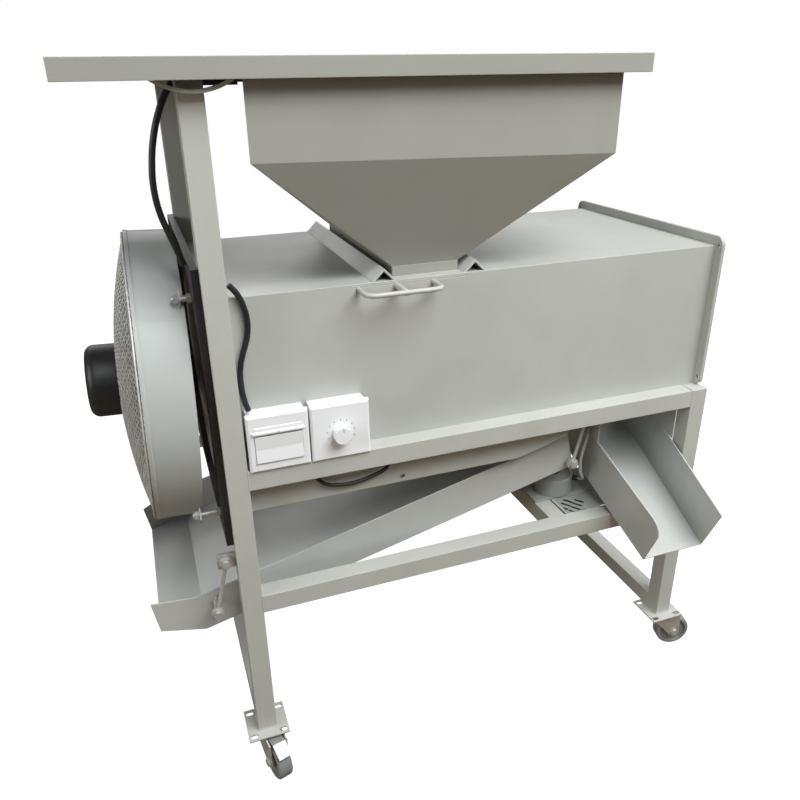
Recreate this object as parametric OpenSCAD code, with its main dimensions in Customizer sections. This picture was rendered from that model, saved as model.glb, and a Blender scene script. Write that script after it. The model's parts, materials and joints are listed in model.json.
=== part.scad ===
// Electric winnowing machine on a square-tube frame, with a feed tray and hopper over a wind box,
// a guarded fan at its left end, a swinging grain trough below and an outlet chute at the right.
// Lengths are measured from the outer corner of the front left post and from the floor, in millimetres.

/* [Frame] */
// Side of the square tube
tube = 30; // [24:1:36]
// Wall of the square tube
tube_wall = 2; // [1:0.5:3]
// Length of the frame along X
frame_l = 815; // [780:5:860]
// Depth of the frame along Y
frame_d = 445; // [430:5:480]
// Top of the mid rails
deck_z = 565; // [555:5:590]
// Top of the lower rails
lower_rail_z = 350; // [346:1:354]
// Top of the left posts, where the tray rests
post_top = 1062; // [1050:1:1100]
// Left motor rail, from the outer face of the left posts
motor_rail_x = 541; // [530:1:550]
// Gap between the two motor rails
motor_rail_gap = 45; // [40:1:52]

/* [Wind box] */
// Wall of the sheet metal
sheet = 2; // [1.5:0.5:2.5]
// Length of the wind box
box_l = 810; // [800:1:840]
// Height of the wind box above the deck
box_h = 240; // [235:1:260]
// Depth that its side walls hang below the deck top
apron_drop = 82; // [70:1:90]
// Width of the outlet flange
flange_w = 15; // [12:1:18]
// Thickness of the outlet flange
flange_t = 6; // [4:1:12]
// Outer corner radius of the outlet flange
flange_r = 14; // [6:1:16]
// Hole for an outlet bolt
outlet_hole_d = 6.5; // [5:0.5:8]
// Leg of the angle irons under the hopper
angle_leg = 25; // [20:1:28]
// Thickness of the angle irons
angle_t = 3; // [2:0.5:4]
// Centre of the left angle iron
angle_x = 246; // [235:1:250]
// Distance between the two angle irons
angle_pitch = 138; // [134:1:150]
// Plate that parts the two grain outlets inside the wind box, its height
divider_h = 110; // [90:5:130]

/* [Hopper] */
// Left end of the neck slot
neck_x = 265; // [265:1:268]
// Length of the neck along X
neck_l = 100; // [94:1:100]
// Front of the neck
neck_y = 52; // [45:1:60]
// Depth of the neck along Y
neck_d = 340; // [320:5:350]
// Height of the neck collar above the box
neck_h = 14; // [12:1:18]
// Left end of the hopper's front wall
hopper_x = 72; // [60:1:80]
// Length of the hopper's front wall
hopper_l = 500; // [470:5:510]
// Front face of the hopper, ahead of the frame
hopper_front = 10; // [5:1:14]
// Rear face of the hopper
hopper_rear = 430; // [410:5:440]
// How far each end of the rear wall lies inside the front wall's end
hopper_taper = 78; // [40:2:90]
// Height of the hopper's upright skirt
skirt_h = 101; // [80:1:110]
// How much higher the skirt's fold lies at its left end
fold_rise = 11; // [0:1:14]

/* [Feed tray] */
// Left end of the tray, beyond the posts
tray_left = 124; // [100:1:140]
// Length of the tray
tray_l = 726; // [700:1:760]
// Front of the tray, ahead of the frame
tray_front = 30; // [22:1:40]
// Depth of the tray
tray_d = 505; // [490:5:540]
// Height of the tray's rim
rim_h = 23; // [18:1:32]
// Width of the rim's folded edge
rim_fold = 8; // [6:1:12]
// Sag of the strap under the tray
strap_sag = 14; // [8:1:18]
// Length of the strap under the tray
strap_l = 92; // [80:1:100]

/* [Fan] */
// Height of the fan's axis
fan_z = 639; // [632:1:655]
// Outer radius of the drum
drum_r = 221; // [210:1:222]
// Depth of the drum
drum_depth = 66; // [60:1:80]
// Gap between the drum and the square plate, at the top
drum_gap = 7; // [6:1:14]
// Lean of the fan away from the square plate
fan_tilt = 2.6; // [0:0.1:3]
// Width of the square plate
plate_w = 420; // [400:1:430]
// Height of the square plate
plate_h = 406; // [400:1:430]
// Lower edge of the square plate
plate_z = 444; // [440:1:450]
// Thickness of the square plate
plate_t = 10; // [6:1:12]
// Radius of the round opening in the square plate
plate_hole_r = 186; // [175:1:188]
// Depth of the guard's dish
dish_depth = 26; // [18:1:34]
// Thickness of the guard
guard_t = 2.4; // [2:0.2:3]
// Distance between the guard's bars
guard_pitch = 26; // [24:1:40]
// Width of a guard bar
guard_bar = 4; // [3:0.5:5]
// Radius of the motor
motor_r = 55; // [50:1:62]
// Length of the motor beyond the guard
motor_l = 49; // [38:1:60]
// Length of the motor inside the guard
motor_inner = 20; // [14:1:24]
// Number of fan blades
blade_n = 5; // [3:1:6]
// Radius of the fan at its blade tips
blade_tip_r = 206; // [190:1:208]
// Pitch angle of the blades
blade_pitch = 32; // [20:1:38]
// Radius of the fan's hub
hub_r = 42; // [34:1:48]
// Radius of the fan's shaft
shaft_r = 6; // [5:0.5:8]

/* [Switches] */
// Side of a switch plate
switch_w = 86; // [80:1:90]
// Left edge of the left switch plate, from the post
switch_gap = 3.5; // [2:0.5:6]
// Gap between the two switch plates
switch_pitch_gap = 2; // [1:0.5:4]
// Thickness of a switch plate
switch_t = 8; // [6:0.5:10]
// Height of the rocker
rocker_h = 40; // [30:1:44]
// Width of the rocker
rocker_w = 66; // [50:1:70]
// Radius of the speed knob
knob_r = 13; // [10:1:16]

/* [Feed gate] */
// Left end of the gate handle
handle_x = 205; // [200:1:212]
// Length of the gate handle
handle_l = 117; // [110:1:125]
// Radius of the handle rod
handle_r = 3.5; // [2.5:0.5:4]
// Bend radius of the handle rod
handle_bend = 14; // [10:1:18]
// Distance of the handle ahead of the box
handle_reach = 40; // [24:1:46]
// Radius of the stem
stem_r = 4.5; // [4:0.5:5]
// Thickness of the gate plate
gate_t = 2; // [1.5:0.5:3]
// Clearance of a part that slides or turns
slide_gap = 0.4; // [0.3:0.05:0.6]

/* [Grain trough] */
// Slope of the trough
trough_angle = 13.9; // [12:0.1:16]
// Length of the trough's sloping floor
trough_l = 667; // [655:1:675]
// Height of the trough's walls
trough_h = 64; // [55:1:70]
// Lower front corner of the trough's sloping floor along X
trough_x = -55; // [-60:1:-45]
// Height of the trough's floor at that corner
trough_z = 274; // [268:1:280]
// Front of the trough
trough_y = 50; // [47:1:53]
// Length of the level spout at the trough's left end
spout_l = 71; // [60:1:85]
// How far the spout's rear wall comes in
spout_taper = 66; // [40:2:90]
// Upper end of a swing link, beyond the post face
link_x = -15; // [-16:1:-13]
// Height of that end
link_z = 415; // [405:1:420]
// Length of a swing link between its bolts
link_l = 89.5; // [80:0.5:96]
// Lean of a swing link
link_lean = 13.6; // [10:0.1:16]
// Outer radius of a link's eye
link_eye_r = 10; // [9:0.5:12]
// Radius of a link bolt
link_bolt_r = 4; // [3:0.5:5]
// Distance between the two links of one side
link_pitch = 619; // [610:1:622]
// Rise of the right links above the left ones
link_rise = 118; // [114:1:122]
// Middle of the left links, from the frame's front face
left_link_inset = 14; // [12:1:16]
// Clearance of a bolt in its eye
bolt_gap = 0.06; // [0.02:0.01:0.1]

/* [Drive] */
// Radius of the drive motor
drive_r = 36; // [30:1:40]
// Height of the drive motor
drive_h = 34; // [28:1:36]
// Distance of the drive motor's axis from the frame front
drive_y = 112; // [100:1:120]
// Throw of the crank
crank_throw = 4; // [2:0.5:5]
// Radius of the crank pin
crank_pin_r = 4; // [3:0.5:5]
// Inner radius of the ring that goes round the crank pin
ring_r = 12.6; // [12.4:0.1:14]
// Length of the push rod between its centres
push_l = 100; // [90:1:110]

/* [Outlet chute] */
// Left side of the chute's lip
lip_x = 650; // [645:1:660]
// Width of the chute's lip
lip_w = 120; // [100:1:130]
// Widest part of the chute, at the frame
chute_w = 145; // [135:1:148]
// Distance of the lip ahead of the frame
lip_reach = 93; // [80:1:105]
// Height of the lip
lip_z = 316; // [305:1:322]
// Slope of the chute
chute_angle = 22.8; // [20:0.1:24]
// Run of the chute's flare behind the frame's front
flare_run = 100; // [90:1:110]
// Height of the chute's walls
chute_h = 85; // [70:1:95]
// Length of the chute's floor
chute_l = 538; // [520:1:540]
// Corner radius at the left wall's front
chute_r = 25; // [15:1:35]

/* [Casters] */
// Radius of a wheel
wheel_r = 32.5; // [31:0.5:33]
// Width of a wheel
wheel_w = 24; // [20:1:26]
// Overall height of a caster
caster_h = 84; // [83:1:98]
// Height of a caster's ball race
race_h = 4; // [3:0.5:5]
// Side of a caster's plate
pad_w = 66; // [60:1:72]
// Thickness of a caster's plate
pad_t = 3; // [2.5:0.5:4]
// Distance between the plate's slots along X
slot_x = 48; // [44:1:50]
// Distance between the plate's slots along Y
slot_y = 50; // [44:1:52]
// Distance from the swivel axis to the wheel's axle
trail = 34; // [28:1:38]
// Radius of an axle
axle_r = 4; // [3:0.5:5]
// Thickness of the fork's sheet
fork_t = 2.5; // [2:0.5:3]
// Radius of the swivel pin
king_r = 5; // [4:0.5:6]
// Clearance of a shaft in its bore
running_gap = 0.05; // [0.02:0.01:0.1]

/* [Cables] */
// Fan cable, inside the square plate's front edge
cable_inset = 47.5; // [40:0.5:54]
// Radius of the fan's cable
fan_cable_r = 4; // [3:0.5:5]
// Radius of the other cables
cable_r = 3; // [2.5:0.5:4]

/* [Hidden] */

$fn = 48;
eps = 0.01;

inner_l = frame_l - 2*tube;
inner_d = frame_d - 2*tube;
right_x = frame_l - tube;
rear_y = frame_d - tube;
deck_low = deck_z - tube;
lower_rail_low = lower_rail_z - tube;
box_top = deck_z + box_h;
box_d = inner_d;
apron_z = deck_z - apron_drop;
iron_rise = angle_leg*cos(45);
neck_top = box_top + neck_h;
skirt_z = post_top - skirt_h;
hopper_rear_x = hopper_x + hopper_taper;
hopper_rear_l = hopper_l - 2*hopper_taper;
tray_top = post_top + rim_h;
fan_y = frame_d/2;
drum_x = -plate_t - drum_gap;
drum_back = drum_x - drum_depth;
dish_x = drum_back - dish_depth;
motor_back = dish_x - motor_l;
spider_gap = 5;
spider_t = 4;
motor_edge = 14;
motor_front = drum_back + spider_gap;
hub_l = 40;
rotor_x = drum_back + 17;
drum_t = 2.5;
bolt_circle_r = drum_r + 10;
fan_bolt_r = 4;
ear_x = drum_x - drum_t - 4;
switch_x = tube + switch_gap;
dial_x = switch_x + switch_w + switch_pitch_gap;
switch_y = -4;
switch_z = deck_z - 2;
dial_z = switch_z + switch_w/2 - 2;
rocker_x = switch_x + (switch_w - rocker_w)/2;
rocker_y = switch_y + 5;
rocker_z = switch_z + 15 + rocker_h/2;
rocker_play = 1.2;
trunnion_l = 4;
trunnion_r = 1.8;
back_w = switch_w - 6;
spindle_r = 4;
gate_z = box_top - sheet - gate_t - slide_gap;
weld_sink = 0.6;
handle_z = gate_z + weld_sink - handle_r;
gate_x = handle_x - 4;
gate_w = neck_x + neck_l + 8 - gate_x;
gate_d = neck_d + 12;
link_dx = -link_l*sin(link_lean);
link_dz = -link_l*cos(link_lean);
link_y = tube + sheet + 6;
link_t = 6;
right_link_x = link_x + link_pitch;
right_link_z = link_z + link_rise;
lug_y = left_link_inset + link_t/2 + slide_gap;
lug_t = 5;
drive_x = motor_rail_x + tube + motor_rail_gap/2;
base_t = 4;
drive_top = lower_rail_z + base_t + drive_h;
crank_z = drive_top + 3;
crank_t = 4;
push_t = 6;
push_z = crank_z + crank_t + 2.5;
push_x = drive_x - push_l;
fork_gap = 1.5;
fork_top = caster_h - pad_t - race_h;
crown_t = 4;
pedal_x = trail - 12;
pedal_z = fork_top - 9;
pedal_pin_r = 2.5;
spout_x = trough_x - spout_l + 4;
spout_z = trough_z + 16;
trough_d = frame_d - 2*trough_y;
trough_end = trough_x + trough_l*cos(trough_angle);
trough_pivots = [[link_x + link_dx, link_z + link_dz], [right_link_x + link_dx, right_link_z + link_dz]];
chute_x = right_x - chute_w;
lip_shift = lip_x - chute_x;
corners = [[tube/2, tube/2], [tube/2, frame_d - tube/2], [right_x + tube/2, tube/2],
    [right_x + tube/2, frame_d - tube/2]];
turns = [-75, -72, -14, -66];

// The origin lies on the floor, under the middle of the whole machine.
reach_left = drum_x + (motor_back + motor_edge - drum_x)*cos(fan_tilt) - drum_r*sin(fan_tilt)
    - (motor_r - motor_edge)*sin(fan_tilt) - motor_edge;
reach_right = corners[2][0] + trail*cos(turns[2]) + wheel_r*cos(turns[2]) + wheel_w/2*abs(sin(turns[2]));
reach_front = -lip_reach - chute_h*sin(chute_angle);
reach_rear = tray_d - tray_front;
origin_x = (reach_left + reach_right)/2;
origin_y = (reach_front + reach_rear)/2;

cable_y = fan_y - plate_w/2 + cable_inset;
fan_cable_route = [[2, cable_y, 1060], [-6, cable_y, 1050], [-17, cable_y, 1030], [-27, cable_y, 1003], [-34, cable_y, 970],
    [-36, cable_y, 940], [-33, cable_y, 912], [-27, cable_y, 890], [-20, cable_y, 868], [-14, cable_y + 2, 846]];
switch_cable_route = [[35, 24, 824], [44, 24, 812], [51, 24, 794], [54, 24, 772], [51, 24, 750],
    [44, 24, 730], [39, 24, 712], [37, 24, 690], [38, 20, 668], [42, 16, 650]];
loop_cable_route = [[126, 24, 534], [134, 22, 518], [146, 21, 509], [160, 21, 505], [180, 21, 503],
    [200, 21, 505], [220, 21, 510], [238, 22, 517], [250, 24, 534]];
motor_cable_route = [[623, 56, 500], [622, 58, 480], [619, 60, 460], [616, 61, 440], [617, 62, 420],
    [621, 64, 404], [628, 68, 392], [632, 76, 384], [631, 86, 380]];

function unit(v) = v/norm(v);
function heading(p, i) = unit(p[min(i + 1, len(p) - 1)] - p[max(i - 1, 0)]);
function side_of(d) = unit(cross(d, abs(d[1]) < 0.9 ? [0, 1, 0] : [1, 0, 0]));

// Moves a piece from the post's corner to the machine's origin
module place() {
    translate([-origin_x, -origin_y, 0]) children();
}

// Round cord swept along a route
module cord(route, r) {
    sides = 8;
    last = len(route) - 1;
    rings = [for (i = [0:last])
        let (d = heading(route, i), s = side_of(d), u = cross(s, d))
        for (k = [0:sides - 1]) route[i] + r*(cos(360*k/sides)*s + sin(360*k/sides)*u)];
    walls = [for (i = [0:last - 1]) for (k = [0:sides - 1])
        let (a = i*sides + k, b = i*sides + (k + 1)%sides)
        each [[a, a + sides, b], [b, a + sides, b + sides]]];
    start = [for (k = [0:sides - 1]) k];
    finish = [for (k = [sides - 1:-1:0]) last*sides + k];
    polyhedron(rings, concat(walls, [start, finish]));
}

// Square tube along Z from one height to another
module upright(x, y, z0, z1) {
    translate([x, y, z0]) difference() {
        cube([tube, tube, z1 - z0]);
        translate([tube_wall, tube_wall, tube_wall])
            cube([tube - 2*tube_wall, tube - 2*tube_wall, z1 - z0 - 2*tube_wall]);
    }
}

// Square tube along X
module beam_x(x, y, z, l) {
    translate([x, y, z]) difference() {
        cube([l, tube, tube]);
        translate([-eps, tube_wall, tube_wall]) cube([l + 2*eps, tube - 2*tube_wall, tube - 2*tube_wall]);
    }
}

// Square tube along Y
module beam_y(x, y, z, l) {
    translate([x, y, z]) difference() {
        cube([tube, l, tube]);
        translate([tube_wall, -eps, tube_wall]) cube([tube - 2*tube_wall, l + 2*eps, tube - 2*tube_wall]);
    }
}

// Rod along X, Y or Z between two places
module rod_x(x0, x1, y, z, r) {
    translate([x0, y, z]) rotate([0, 90, 0]) cylinder(r = r, h = x1 - x0);
}

module rod_y(x, y0, y1, z, r) {
    translate([x, y0, z]) rotate([-90, 0, 0]) cylinder(r = r, h = y1 - y0);
}

module hex_y(x, y0, y1, z, r) {
    translate([x, y0, z]) rotate([-90, 0, 0]) cylinder(r = r, h = y1 - y0, $fn = 6);
}

module hex_x(x0, x1, y, z, r) {
    translate([x0, y, z]) rotate([0, 90, 0]) cylinder(r = r, h = x1 - x0, $fn = 6);
}

module left_posts() {
    color("darkkhaki") place() for (y = [0, rear_y]) upright(0, y, caster_h, post_top);
}

module right_legs() {
    color("darkkhaki") place() for (y = [0, rear_y]) upright(right_x, y, caster_h, deck_z);
}

module mid_rails() {
    color("darkkhaki") place() for (y = [0, rear_y]) beam_x(tube, y, deck_low, inner_l);
}

module cross_rails() {
    color("darkkhaki") place() for (x = [0, right_x]) beam_y(x, tube, deck_low, inner_d);
}

module lower_rails() {
    color("darkkhaki") place() for (y = [0, rear_y]) beam_x(tube, y, lower_rail_low, inner_l);
}

module side_rails() {
    color("darkkhaki") place() for (x = [0, right_x]) beam_y(x, tube, caster_h, inner_d);
}

module motor_rails() {
    color("darkkhaki") place() for (x = [motor_rail_x, motor_rail_x + tube + motor_rail_gap])
        beam_y(x, tube, lower_rail_low, inner_d);
}

// Side wall of the wind box, with its apron between the side rails
module box_side() {
    translate([0, 0, deck_z]) cube([box_l, sheet, box_h]);
    translate([tube, 0, apron_z]) cube([inner_l, sheet, apron_drop + eps]);
}

module wind_box() {
    color("silver") place() difference() {
        union() {
            translate([0, tube, 0]) box_side();
            translate([0, rear_y - sheet, 0]) box_side();
            translate([0, tube, box_top - sheet]) cube([box_l, box_d, sheet]);
            translate([0, tube, deck_z]) cube([sheet, box_d, box_h]);
        }
        translate([neck_x, neck_y, box_top - 2*sheet]) cube([neck_l, neck_d, 3*sheet]);
        translate([-eps, fan_y, fan_z]) rotate([0, 90, 0]) cylinder(r = plate_hole_r, h = 2*sheet, $fn = 96);
        rod_y(neck_x + 3, 0, tube + 2*sheet, apron_z + 9, 4);
        for (x = [handle_x + handle_r, handle_x + handle_l - handle_r])
            rod_y(x, 0, tube + 2*sheet, handle_z, handle_r + slide_gap);
        rod_y(handle_x + handle_l/2, 0, tube + 2*sheet, handle_z, stem_r + slide_gap);
        translate([gate_x - 2*slide_gap, 0, gate_z - 2*slide_gap])
            cube([gate_w + 4*slide_gap, tube + 2*sheet, gate_t + 3*slide_gap]);
    }
}

module outlet_flange() {
    outer_d = box_d + 2*flange_w;
    outer_h = box_h + flange_w;
    color("silver") place() translate([box_l, tube - flange_w, deck_z]) difference() {
        union() {
            translate([0, flange_r, 0]) cube([flange_t, outer_d - 2*flange_r, outer_h]);
            translate([0, 0, flange_r]) cube([flange_t, outer_d, outer_h - 2*flange_r]);
            for (y = [flange_r, outer_d - flange_r]) for (z = [flange_r, outer_h - flange_r])
                translate([0, y, z]) rotate([0, 90, 0]) cylinder(r = flange_r, h = flange_t);
        }
        translate([-eps, flange_w + sheet, flange_w])
            cube([flange_t + 2*eps, box_d - 2*sheet, box_h - flange_w - sheet]);
        for (y = [flange_w/2, outer_d - flange_w/2]) for (z = [flange_w, outer_h - flange_w])
            translate([-eps, y, z]) rotate([0, 90, 0]) cylinder(d = outlet_hole_d, h = flange_t + 2*eps);
    }
}

module grain_divider() {
    color("silver") place() translate([right_link_x + 22, tube + sheet, apron_z])
        cube([sheet, box_d - 2*sheet, divider_h]);
}

module hopper_irons() {
    d = box_d - 2*sheet;
    leg = [[0, 0], [angle_leg, 0], [angle_leg, angle_t], [angle_t, angle_t], [angle_t, angle_leg], [0, angle_leg]];
    color("darkkhaki") place() for (x = [angle_x, angle_x + angle_pitch])
        difference() {
            translate([x, tube + sheet + d, box_top + iron_rise]) rotate([90, 0, 0]) rotate([0, 0, -135])
                linear_extrude(d) polygon(leg);
            translate([x - angle_leg, tube, box_top - angle_leg]) cube([2*angle_leg, box_d, angle_leg]);
        }
}

module neck_collar() {
    color("gainsboro") place() translate([neck_x, neck_y, box_top]) difference() {
        cube([neck_l, neck_d, neck_h]);
        translate([sheet, sheet, -eps]) cube([neck_l - 2*sheet, neck_d - 2*sheet, neck_h + 2*eps]);
    }
}

// Height of the hopper's fold, which slopes along the machine
function fold_z(x) = skirt_z + fold_rise*(hopper_x + hopper_l - x)/hopper_l;

// Corner points of the hopper at its neck, fold and mouth, drawn in by a wall
function hopper_points(inset, low, high) =
    let (x0 = hopper_x + inset, x1 = hopper_x + hopper_l - inset, x2 = hopper_rear_x + hopper_rear_l - inset,
        x3 = hopper_rear_x + inset, y0 = inset - hopper_front, y1 = hopper_rear - inset)
    [[neck_x + inset, neck_y + inset, low], [neck_x + neck_l - inset, neck_y + inset, low],
        [neck_x + neck_l - inset, neck_y + neck_d - inset, low], [neck_x + inset, neck_y + neck_d - inset, low],
        [x0, y0, fold_z(x0)], [x1, y0, fold_z(x1)], [x2, y1, fold_z(x2)], [x3, y1, fold_z(x3)],
        [x0, y0, high], [x1, y0, high], [x2, y1, high], [x3, y1, high]];

hopper_faces = [[0, 1, 2], [0, 2, 3], [0, 4, 5], [0, 5, 1], [1, 5, 6], [1, 6, 2], [2, 6, 7], [2, 7, 3],
    [3, 7, 4], [3, 4, 0], [4, 8, 9], [4, 9, 5], [5, 9, 10], [5, 10, 6], [6, 10, 11], [6, 11, 7],
    [7, 11, 8], [7, 8, 4], [8, 10, 9], [8, 11, 10]];

// Plan of the hopper's mouth, wide at the front, drawn in by a wall
module mouth_plan(inset) {
    slant = inset*(1 + hopper_taper/(hopper_rear + hopper_front));
    polygon([[hopper_x + slant, inset - hopper_front], [hopper_x + hopper_l - slant, inset - hopper_front],
        [hopper_rear_x + hopper_rear_l - slant, hopper_rear - inset], [hopper_rear_x + slant, hopper_rear - inset]]);
}

module hopper() {
    color("gainsboro") place() difference() {
        polyhedron(hopper_points(0, neck_top, post_top), hopper_faces);
        polyhedron(hopper_points(sheet, neck_top - eps, post_top + eps), hopper_faces);
    }
}

module feed_tray() {
    color("gainsboro") place() difference() {
        translate([-tray_left, -tray_front, post_top]) difference() {
            cube([tray_l, tray_d, rim_h]);
            translate([sheet, sheet, sheet])
                cube([tray_l - 2*sheet, tray_d - 2*sheet, rim_h - 2*sheet]);
            translate([rim_fold, rim_fold, sheet + eps])
                cube([tray_l - 2*rim_fold, tray_d - 2*rim_fold, rim_h]);
        }
        translate([0, 0, post_top - sheet]) linear_extrude(3*sheet) mouth_plan(sheet);
    }
}

module tray_bearers() {
    bar = 6;
    color("dimgray") place() {
        translate([tube, 0, post_top - bar]) cube([hopper_x - tube - 2*sheet, tube, bar]);
        translate([tube, rear_y, post_top - bar]) cube([hopper_rear_x - tube - 12, tube, bar]);
    }
}

// Thin strap that hangs in a shallow arc under the tray's front edge
module tray_strap() {
    strap_w = 12;
    strap_t = 2;
    arc_r = (pow(strap_l/2, 2) + pow(strap_sag, 2))/(2*strap_sag);
    color("gainsboro") place() translate([-28 + strap_l/2, -2, post_top - strap_sag + arc_r]) rotate([90, 0, 0])
        intersection() {
            difference() {
                cylinder(r = arc_r, h = strap_w, $fn = 120);
                translate([0, 0, -eps]) cylinder(r = arc_r - strap_t, h = strap_w + 2*eps, $fn = 120);
            }
            translate([-strap_l, -arc_r - 1, -eps]) cube([2*strap_l, strap_sag + 1, strap_w + 2*eps]);
        }
}

// Places children on the fan's axis, with their Z along +X of the machine
module on_fan_axis(x) {
    translate([x, fan_y, fan_z]) rotate([0, 90, 0]) children();
}

// Places children on the drum's axis, which leans away from the square plate about the drum's top
module on_drum_axis(x) {
    translate([drum_x, fan_y, fan_z + drum_r]) rotate([0, fan_tilt, 0]) translate([x - drum_x, 0, -drum_r])
        rotate([0, 90, 0]) children();
}

// Middle of one of the drum's ears
function ear_place(k) =
    let (a = 45 + 90*k, lx = ear_x + drum_t/2 - drum_x, lz = -bolt_circle_r*cos(a) - drum_r)
    [drum_x + lx*cos(fan_tilt) + lz*sin(fan_tilt), fan_y + bolt_circle_r*sin(a),
        fan_z + drum_r - lx*sin(fan_tilt) + lz*cos(fan_tilt)];

module fan_plate() {
    color("black") place() difference() {
        translate([-plate_t, fan_y - plate_w/2, plate_z]) cube([plate_t, plate_w, plate_h]);
        on_fan_axis(-plate_t - eps) cylinder(r = plate_hole_r, h = plate_t + 2*eps, $fn = 96);
        for (k = [0:3]) rod_x(-2*plate_t, plate_t, ear_place(k)[1], ear_place(k)[2], fan_bolt_r + slide_gap);
    }
}

module fan_bolts() {
    head = 6.5;
    color("gainsboro") place() for (k = [0:3]) {
        p = ear_place(k);
        face = p[0] - drum_t/2 - slide_gap;
        rod_x(face - head - 2, 0, p[1], p[2], fan_bolt_r);
        hex_x(face - head, face, p[1], p[2], 7);
        hex_x(-plate_t - head, -plate_t, p[1], p[2], 7);
    }
}

module fan_drum() {
    ear_w = 16;
    lip = 8;
    color("whitesmoke") place() difference() {
        union() {
            on_drum_axis(drum_back) rotate_extrude($fn = 120)
                polygon([[drum_r - drum_t, 0], [drum_r + 1, 0], [drum_r + 1, 5], [drum_r, 6], [drum_r, drum_depth],
                    [drum_r - lip, drum_depth], [drum_r - lip, drum_depth - drum_t],
                    [drum_r - drum_t, drum_depth - drum_t]]);
            on_drum_axis(ear_x) for (k = [0:3]) rotate(45 + 90*k)
                translate([drum_r - drum_t/2, -ear_w/2, 0]) cube([ear_w + 5, ear_w, drum_t]);
        }
        on_drum_axis(ear_x) for (k = [0:3]) rotate(45 + 90*k)
            translate([bolt_circle_r, 0, 0]) cylinder(r = fan_bolt_r + 0.3, h = 4*drum_t, center = true);
    }
}

// Radius of the guard's dish, from its rim and its depth
dish_r = (pow(drum_r - 6, 2) + pow(dish_depth, 2))/(2*dish_depth);

// Thin cap of a sphere that bulges away from the drum
module guard_shell() {
    intersection() {
        translate([0, 0, dish_r - dish_depth]) difference() {
            sphere(r = dish_r, $fn = 120);
            sphere(r = dish_r - guard_t, $fn = 120);
        }
        translate([0, 0, -dish_depth - 1]) cylinder(r = drum_r - 4, h = dish_depth + 1, $fn = 96);
    }
}

module fan_guard() {
    bars = floor((drum_r - 8)/guard_pitch);
    depth = dish_depth + 4;
    color("darkgray") place() on_drum_axis(drum_back) difference() {
        union() {
            intersection() {
                guard_shell();
                for (turn = [0, 90]) rotate(turn) for (k = [-bars:bars])
                    translate([k*guard_pitch - guard_bar/2, -drum_r, -depth]) cube([guard_bar, 2*drum_r, depth]);
            }
            intersection() {
                guard_shell();
                translate([0, 0, -depth]) cylinder(r = motor_r + 8, h = depth);
            }
            difference() {
                translate([0, 0, -guard_t]) cylinder(r = drum_r, h = guard_t, $fn = 120);
                translate([0, 0, -2*guard_t]) cylinder(r = drum_r - 12, h = 3*guard_t, $fn = 96);
            }
        }
        translate([0, 0, -depth - 1]) cylinder(r = motor_r, h = depth + 2, $fn = 96);
    }
}

module fan_spider() {
    arm_w = 14;
    color("dimgray") place() on_drum_axis(drum_back + spider_gap) difference() {
        union() {
            for (k = [0:3]) rotate(90*k) translate([0, -arm_w/2, 0]) cube([drum_r, arm_w, spider_t]);
            cylinder(r = motor_r - 4, h = spider_t);
        }
        translate([0, 0, -eps]) cylinder(r = shaft_r + 2, h = spider_t + 2*eps);
        difference() {
            cylinder(r = drum_r + 10, h = 3*spider_t, center = true, $fn = 96);
            cylinder(r = drum_r - drum_t, h = 4*spider_t, center = true, $fn = 120);
        }
    }
}

module fan_motor() {
    shell_l = motor_front - motor_back;
    color("black") place() on_drum_axis(motor_back) difference() {
        rotate_extrude($fn = 96) {
            square([motor_r - motor_edge, shell_l]);
            translate([0, motor_edge]) square([motor_r, shell_l - motor_edge]);
            intersection() {
                translate([motor_r - motor_edge, motor_edge]) circle(r = motor_edge);
                square([motor_r, motor_edge]);
            }
        }
        translate([0, 0, shell_l - motor_inner]) cylinder(r = shaft_r + running_gap, h = motor_inner + eps);
    }
}

module fan_rotor() {
    blade_t = 3;
    chord = 84;
    root_chord = 52;
    knee = blade_tip_r/3;
    color("firebrick") place() on_drum_axis(rotor_x) {
        cylinder(r = hub_r, h = hub_l);
        translate([0, 0, motor_front - rotor_x - motor_inner + 2])
            cylinder(r = shaft_r, h = rotor_x - motor_front + motor_inner);
        for (k = [0:blade_n - 1]) rotate(360*k/blade_n) intersection() {
            translate([hub_r - 6, 0, hub_l/2]) rotate([blade_pitch, 0, 0]) translate([0, 0, -blade_t/2])
                linear_extrude(blade_t) polygon([[0, -root_chord/2], [knee, -chord/2 + 4], [blade_tip_r, -chord/2],
                    [blade_tip_r, chord/2], [knee, chord/2 - 4], [0, root_chord/2]]);
            cylinder(r = blade_tip_r, h = 4*hub_l, center = true, $fn = 96);
        }
    }
}

module back_box(x) {
    translate([x + (switch_w - back_w)/2, switch_y + switch_t, deck_z]) difference() {
        cube([back_w, tube - switch_y - switch_t, back_w]);
        translate([sheet, -eps, sheet]) cube([back_w - 2*sheet, tube - switch_y - switch_t - sheet, back_w - 2*sheet]);
    }
}

module switch_box() {
    color("whitesmoke") place() back_box(switch_x);
}

module dial_box() {
    color("whitesmoke") place() back_box(dial_x);
}

// Face plate with a bevelled front edge, notched over the rail
module face_plate(x) {
    bevel = 3;
    difference() {
        translate([x, switch_y, switch_z]) {
            translate([0, bevel, 0]) cube([switch_w, switch_t - bevel, switch_w]);
            hull() {
                translate([bevel, 0, bevel]) cube([switch_w - 2*bevel, 1, switch_w - 2*bevel]);
                translate([0, bevel, 0]) cube([switch_w, 1, switch_w]);
            }
        }
        translate([x - eps, 0, switch_z - eps]) cube([switch_w + 2*eps, switch_t, deck_z - switch_z + eps]);
    }
}

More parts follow.
